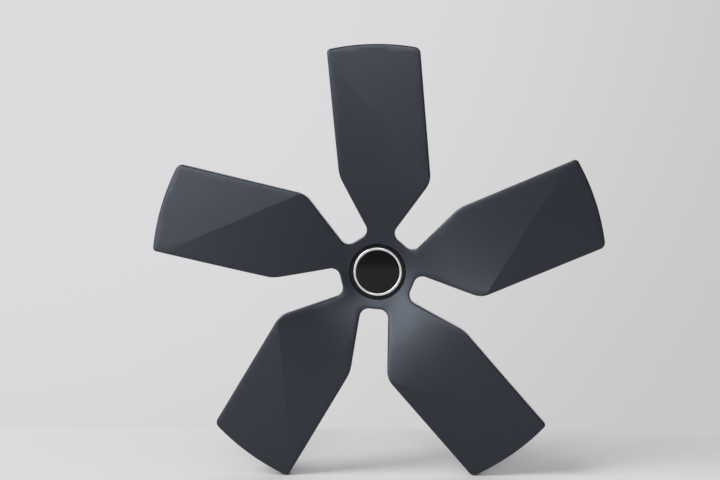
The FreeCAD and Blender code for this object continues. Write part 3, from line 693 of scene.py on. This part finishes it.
def clipStrip():
    # one strip bent over the tower's end, sprung out along both legs
    at, end, mid, leg = blade["towerStation"], blade["towerEnd"], clip["middle"], clip["leg"]
    flare, short = clip["tail"]
    half = [(mid, clip["low"], clip["bendRound"])]
    half += [(mid + clip["bulge"] * out, end + leg * share, radius) for out, share, radius in clip["bends"]]
    half.append((mid + flare, end + leg - short, 0))
    path = np.array(rounded([(at - y, z, r) for y, z, r in reversed(half)] + [(at + y, z, r) for y, z, r in half]))
    along = np.gradient(path, axis=0)
    along /= np.linalg.norm(along, axis=1)[:, None]
    normal = np.stack([-along[:, 1], along[:, 0]], 1)
    wide, thick, cut = clip["width"] / 2, clip["gauge"] / 2, clip["edge"]
    section = [(-wide + cut, -thick), (wide - cut, -thick), (wide, -thick + cut), (wide, thick - cut),
               (wide - cut, thick), (-wide + cut, thick), (-wide, thick - cut), (-wide, -thick + cut)]
    points, faces, count = [], [], len(section)
    for p, n in zip(path, normal):
        points += [(x, p[0] + n[0] * up, p[1] + n[1] * up) for x, up in section]
    for i in range(len(path) - 1):
        for k in range(count):
            j = (k + 1) % count
            faces.append((i * count + k, i * count + j, (i + 1) * count + j, (i + 1) * count + k))
    last = (len(path) - 1) * count
    faces += [tuple(reversed(range(count))), tuple(range(last, last + count))]
    return plainMesh("clipStrip", points, faces)


def tone(code):
    # sRGB hex to linear colour
    parts = [int(code[i:i + 2], 16) / 255 for i in (1, 3, 5)]
    return tuple(c / 12.92 if c <= 0.04045 else ((c + 0.055) / 1.055) ** 2.4 for c in parts) + (1.0,)


def surface(name):
    material = bpy.data.materials.new(name)
    material.use_nodes = True
    tree = material.node_tree
    tree.nodes.clear()
    shader = tree.nodes.new("ShaderNodeBsdfPrincipled")
    out = tree.nodes.new("ShaderNodeOutputMaterial")
    tree.links.new(shader.outputs[0], out.inputs[0])
    place = tree.nodes.new("ShaderNodeTexCoord").outputs["Object"]
    return material, tree, shader, place


def satinPaintedAbs():
    # moulded PC/ABS: a satin anthracite lacquer with broad soft highlights and a faint orange peel on the face,
    # and the bare, duller, finely spark-grained moulding behind
    material, tree, shader, place = surface("satinPaintedAbs")
    bare = addNode(tree, "ShaderNodeAttribute", {"attribute_name": "bare"}).outputs["Fac"]
    cloud = addNode(tree, "ShaderNodeTexNoise", None,
                    {"Vector": place, "Scale": 1 / 0.045, "Detail": 3.0, "Roughness": 0.55}).outputs["Fac"]
    lacquer = addNode(tree, "ShaderNodeMix", {"data_type": "RGBA"},
                      {"Factor": cloud, 6: tone("#0a0b0e"), 7: tone("#0d0f12")}).outputs[2]
    # spark-eroded grain is about 0.3 mm; drawn at 1.2 mm to show at this size
    grain = addNode(tree, "ShaderNodeTexNoise", None,
                    {"Vector": place, "Scale": 1 / 0.0012, "Detail": 3.0, "Roughness": 0.65}).outputs["Fac"]
    moulding = addNode(tree, "ShaderNodeMix", {"data_type": "RGBA"},
                       {"Factor": grain, 6: tone("#191a1b"), 7: tone("#262728")}).outputs[2]
    colour = addNode(tree, "ShaderNodeMix", {"data_type": "RGBA"}, {"Factor": bare, 6: lacquer, 7: moulding}).outputs[2]
    tree.links.new(colour, shader.inputs["Base Color"])
    satin = addNode(tree, "ShaderNodeMapRange", None, {"Value": cloud, "To Min": 0.34, "To Max": 0.38}).outputs[0]
    dull = addNode(tree, "ShaderNodeMapRange", None, {"Value": grain, "To Min": 0.48, "To Max": 0.6}).outputs[0]
    gloss = addNode(tree, "ShaderNodeMix", None, {0: bare, 2: satin, 3: dull}).outputs[0]
    tree.links.new(gloss, shader.inputs["Roughness"])
    shader.inputs["Specular IOR Level"].default_value = 0.63
    shader.inputs["Specular Tint"].default_value = tone("#e1ecff")
    # orange peel cells are near 1 mm across; drawn at 1.6 mm to show at this size
    peel = addNode(tree, "ShaderNodeTexNoise", None,
                   {"Vector": place, "Scale": 1 / 0.0016, "Detail": 2.0, "Roughness": 0.5}).outputs["Fac"]
    relief = addNode(tree, "ShaderNodeMix", None, {0: bare, 2: peel, 3: grain}).outputs[0]
    bump = addNode(tree, "ShaderNodeBump", None, {"Strength": 0.25, "Distance": 0.00004, "Height": relief}).outputs[0]
    tree.links.new(bump, shader.inputs["Normal"])
    return material


def glossBlackAbs():
    # polished black ABS: deep black with a soft reflection on top, slightly hazed by handling
    material, tree, shader, place = surface("glossBlackAbs")
    haze = addNode(tree, "ShaderNodeTexNoise", None,
                   {"Vector": place, "Scale": 1 / 0.012, "Detail": 4.0, "Roughness": 0.6}).outputs["Fac"]
    colour = addNode(tree, "ShaderNodeMix", {"data_type": "RGBA"},
                     {"Factor": haze, 6: tone("#0a0b0d"), 7: tone("#101113")}).outputs[2]
    tree.links.new(colour, shader.inputs["Base Color"])
    gloss = addNode(tree, "ShaderNodeMapRange", None, {"Value": haze, "To Min": 0.1, "To Max": 0.2}).outputs[0]
    tree.links.new(gloss, shader.inputs["Roughness"])
    shader.inputs["Specular IOR Level"].default_value = 0.22
    return material


def satinChrome():
    # nickel and satin chrome plated on ABS: white and bright, softened by a fine bloom
    material, tree, shader, place = surface("satinChrome")
    shader.inputs["Metallic"].default_value = 1.0
    bloom = addNode(tree, "ShaderNodeTexNoise", None,
                    {"Vector": place, "Scale": 1 / 0.006, "Detail": 3.0}).outputs["Fac"]
    colour = addNode(tree, "ShaderNodeMix", {"data_type": "RGBA"},
                     {"Factor": bloom, 6: tone("#d6d7d8"), 7: tone("#e4e5e6")}).outputs[2]
    tree.links.new(colour, shader.inputs["Base Color"])
    gloss = addNode(tree, "ShaderNodeMapRange", None, {"Value": bloom, "To Min": 0.27, "To Max": 0.34}).outputs[0]
    tree.links.new(gloss, shader.inputs["Roughness"])
    return material


def phosphatedSpringSteel():
    # rolled spring strip with a grey phosphate coat: dull, with a fine grit of crystals
    material, tree, shader, place = surface("phosphatedSpringSteel")
    shader.inputs["Metallic"].default_value = 1.0
    grit = addNode(tree, "ShaderNodeTexNoise", None,
                   {"Vector": place, "Scale": 1 / 0.0015, "Detail": 3.0, "Roughness": 0.6}).outputs["Fac"]
    colour = addNode(tree, "ShaderNodeMix", {"data_type": "RGBA"},
                     {"Factor": grit, 6: tone("#55575a"), 7: tone("#76787b")}).outputs[2]
    tree.links.new(colour, shader.inputs["Base Color"])
    gloss = addNode(tree, "ShaderNodeMapRange", None, {"Value": grit, "To Min": 0.34, "To Max": 0.5}).outputs[0]
    tree.links.new(gloss, shader.inputs["Roughness"])
    bump = addNode(tree, "ShaderNodeBump", None, {"Strength": 0.2, "Distance": 0.00003, "Height": grit}).outputs[0]
    tree.links.new(bump, shader.inputs["Normal"])
    return material


ridgeMark = {"within": 0.06, "first": -20.0, "last": 140.0, "aboveHub": 10.0}  # where the crease is looked for


def markRidge(piece):
    # keeps the crease between outer facet and ramp crisp right to the tip
    mesh = piece.data
    points = np.empty(len(mesh.vertices) * 3)
    mesh.vertices.foreach_get("co", points)
    points = points.reshape(-1, 3) / mm
    flat = np.stack([points[:, 0], points[:, 2]], 1)
    raised = points[:, 1] < -form["hubLevel"] - ridgeMark["aboveHub"]
    onRidge = np.full(len(flat), -1)
    for k in range(blade["count"]):
        local = turned(flat, -sectorAngle * k) - ridgeStart
        reach = local @ ridgeAlong
        near = np.abs(local @ ridgeInward) < ridgeMark["within"]
        onRidge[near & raised & (reach > ridgeMark["first"]) & (reach < ridgeMark["last"])] = k
    ends = np.empty(len(mesh.edges) * 2, int)
    mesh.edges.foreach_get("vertices", ends)
    ends = onRidge[ends.reshape(-1, 2)]
    crease = (ends[:, 0] >= 0) & (ends[:, 0] == ends[:, 1])
    sharp = mesh.attributes.get("sharp_edge") or mesh.attributes.new("sharp_edge", "BOOLEAN", "EDGE")
    state = np.empty(len(mesh.edges), bool)
    sharp.data.foreach_get("value", state)
    sharp.data.foreach_set("value", state | crease)
    print("ridge edges", int(crease.sum()))


aroundAxis = repeatTree()
paint, black, chrome, steel = satinPaintedAbs(), glossBlackAbs(), satinChrome(), phosphatedSpringSteel()

star = grown("starFace", shellMesh("bladeFlat", sector), bladeTree(), {"finish": paint})
cover = finished("starCover", [star, hubBack()], paint, smooth=28)
markRidge(cover)
badgeDisc = finished("badgeDisc", badgeMeshes(black), black, smooth=40)
badgeRing = finished("badgeRing", [ringMesh()], chrome, smooth=50)
clips = grown("clipGroup", clipStrip(), aroundAxis, {"count": blade["count"], "finish": steel})
springClips = finished("springClips", [clips], steel, smooth=40)

for piece, node, slot in ((cover, "star_cover", "cover"), (badgeDisc, "badge_disc", "badge"),
                          (badgeRing, "badge_ring", "ring"), (springClips, "spring_clips", "clip")):
    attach(piece, "root")
    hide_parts(node)

# Stage: pale floor under the cover, a large soft key high on the left, weak fills in front, a broad one behind, and
# a pale wall all round, with painted shade darkening it away from its pale side. Lengths in m; the fades are how far a
# direction agrees with the pale side.
stage = {
    "floor": "#ababac", "front": 2.4, "back": 0.16, "side": 2.4,
    # the darker wall colour is painted shade, which the wall seen straight on fades to away from its pale side
    "wall": "#dcdbdd", "shadedWall": "#c9c8c7", "room": "#2c2c2e", "ambient": 0.8,
    "paleSide": (-0.35, 0.9, 0.15), "roomFade": (-0.9, 0.85), "shadedWallFade": (0.78, 0.98),
}
lamps = {  # direction as degrees to the right of the front and above level, distance and size in m, power in W
    "keyLight": {"right": -70.0, "above": 42.0, "away": 9.0, "size": 4.5, "power": 849.0},
    "leftFill": {"right": -22.0, "above": 14.0, "away": 4.5, "size": 1.05, "power": 45.0},
    "rightFill": {"right": 3.0, "above": 24.0, "away": 4.5, "size": 1.05, "power": 50.6},
    "lowFill": {"right": -35.0, "above": 3.0, "away": 4.5, "size": 0.9, "power": 29.0},
    "backFill": {"right": 180.0, "above": 8.0, "away": 2.2, "size": 2.4, "power": 16.0},
}
side, low = stage["side"], float(cadBox[0][2])
floorMesh = plainMesh("floor", [(-side, -stage["front"], low), (side, -stage["front"], low),
                                (side, stage["back"], low), (-side, stage["back"], low)], [(0, 1, 2, 3)])
floor = bpy.data.objects.new("floor", floorMesh)
scene.collection.objects.link(floor)
floorPaint, _, floorShader, _ = surface("paleFloor")
floorShader.inputs["Roughness"].default_value = 0.9
floorShader.inputs["Specular IOR Level"].default_value = 0.0
floorShader.inputs["Base Color"].default_value = tone(stage["floor"])
floorMesh.materials.append(floorPaint)

world = bpy.data.worlds.new("paleRoom")
scene.world = world
world.use_nodes = True
tree = world.node_tree
tree.nodes.clear()
rays = tree.nodes.new("ShaderNodeLightPath").outputs
direct = addNode(tree, "ShaderNodeMath", {"operation": "MAXIMUM"},
                 {0: rays["Is Camera Ray"], 1: rays["Is Transmission Ray"]}).outputs[0]
seen = addNode(tree, "ShaderNodeMath", {"operation": "MAXIMUM"}, {0: direct, 1: rays["Is Glossy Ray"]}).outputs[0]
ambient = addNode(tree, "ShaderNodeBackground", None,
                  {"Color": tone("#ffffff"), "Strength": stage["ambient"]}).outputs[0]
# the wall is palest behind the cover and to the left; seen straight on, it darkens away from there as painted shade,
# while gloss finds the pale wall there and a dim room in front of the cover
look = tree.nodes.new("ShaderNodeTexCoord").outputs["Generated"]
facing = addNode(tree, "ShaderNodeVectorMath", {"operation": "DOT_PRODUCT"},
                 {0: look, 1: Vector(stage["paleSide"]).normalized()}).outputs["Value"]
shades = []
for dim in ("room", "shadedWall"):
    least, most = stage[dim + "Fade"]
    share = addNode(tree, "ShaderNodeMapRange", {"interpolation_type": "SMOOTHSTEP"},
                    {"Value": facing, "From Min": least, "From Max": most}).outputs[0]
    shades.append(addNode(tree, "ShaderNodeMix", {"data_type": "RGBA"},
                          {"Factor": share, 6: tone(stage[dim]), 7: tone(stage["wall"])}).outputs[2])
shade = addNode(tree, "ShaderNodeMix", {"data_type": "RGBA"}, {"Factor": direct, 6: shades[0], 7: shades[1]}).outputs[2]
behind = addNode(tree, "ShaderNodeBackground", None, {"Color": shade, "Strength": 1.0}).outputs[0]
mixed = addNode(tree, "ShaderNodeMixShader", None, {0: seen, 1: ambient, 2: behind}).outputs[0]
addNode(tree, "ShaderNodeOutputWorld", None, {0: mixed})

for name, light in lamps.items():
    lamp = bpy.data.lights.new(name, "AREA")
    lamp.shape, lamp.size, lamp.energy = "DISK", light["size"], light["power"]
    turn, rise = math.radians(light["right"]), math.radians(light["above"])
    place = Vector((math.sin(turn) * math.cos(rise), -math.cos(turn) * math.cos(rise), math.sin(rise))) * light["away"]
    holder = bpy.data.objects.new(name, lamp)
    scene.collection.objects.link(holder)
    holder.location = place
    holder.rotation_euler = place.to_track_quat("Z", "Y").to_euler()
    holder.visible_camera = False
print("lamps", len(lamps))

# camera fitted to the photograph: lens and sensor in mm, place in m, and the directions of its axes
view = {
    "lens": 62.73, "sensor": 36.0, "place": (0.08368, -1.28030, 0.16587),
    "right": (0.99684, 0.07780, -0.01577), "up": (0.00757, 0.10467, 0.99448), "back": (0.07903, -0.99146, 0.10375),
}
scene.view_settings.view_transform = "Standard"
shot = bpy.data.cameras.new("photoCamera")
shot.lens, shot.sensor_width, shot.sensor_fit = view["lens"], view["sensor"], "HORIZONTAL"
camera = bpy.data.objects.new("photoCamera", shot)
scene.collection.objects.link(camera)
columns = [view[key] for key in ("right", "up", "back", "place")]
camera.matrix_world = Matrix([*zip(*columns), (0, 0, 0, 1)])
scene.camera = camera
